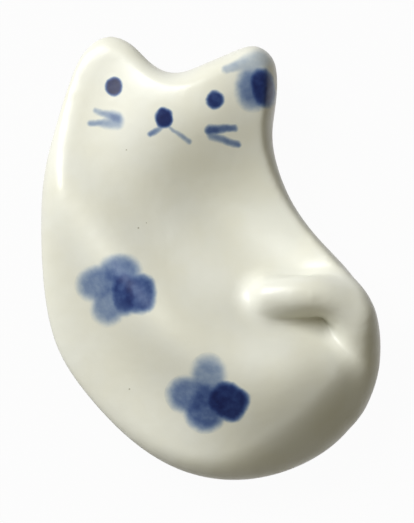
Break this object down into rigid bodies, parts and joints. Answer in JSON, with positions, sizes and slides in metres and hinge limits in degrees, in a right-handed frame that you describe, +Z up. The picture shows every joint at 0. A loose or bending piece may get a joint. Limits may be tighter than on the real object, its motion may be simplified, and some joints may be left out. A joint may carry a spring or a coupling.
{
  "type": "cat figurine chopstick rest",
  "caption": "Small glazed porcelain cat lying curled on a flat foot, with a dipped back, raised head and ears, a coiled tail laid over the haunch and hand-painted blue marks.",
  "frame": {"origin": "centre of the whole cat's box in plan, on the plane that its foot rim stands on", "axes": "+Z up from the foot, +Y towards the ears, +X towards the tail's side"},
  "size_m": [0.0418, 0.055, 0.0137],
  "materials": {
    "white_glaze": "clear gloss glaze over cream-white porcelain, bare on the foot rim",
    "cobalt_dark": "dense cobalt blue brushed under the clear glaze",
    "cobalt_line": "thin cobalt blue brush line under the clear glaze",
    "cobalt_wash": "watery cobalt blue wash under the clear glaze"
  },
  "bodies": {
    "root": {"body": "white_glaze", "ear_left": "white_glaze", "ear_right": "white_glaze", "tail": "white_glaze", "eye_left": "cobalt_dark", "eye_right": "cobalt_dark", "nose": "cobalt_dark", "ear_patch_dark": "cobalt_dark", "back_spot_dark": "cobalt_dark", "rump_spot_dark": "cobalt_dark", "mouth_left": "cobalt_line", "mouth_right": "cobalt_line", "whisker_left_upper": "cobalt_line", "whisker_left_lower": "cobalt_line", "whisker_right_upper": "cobalt_line", "whisker_right_lower": "cobalt_line", "ear_patch_wash": "cobalt_wash", "ear_patch_streak": "cobalt_wash", "back_spot_right": "cobalt_wash", "back_spot_top": "cobalt_wash", "back_spot_left": "cobalt_wash", "back_spot_bottom": "cobalt_wash", "rump_spot_top": "cobalt_wash", "rump_spot_left": "cobalt_wash", "rump_spot_bottom": "cobalt_wash"}
  },
  "joints": []
}
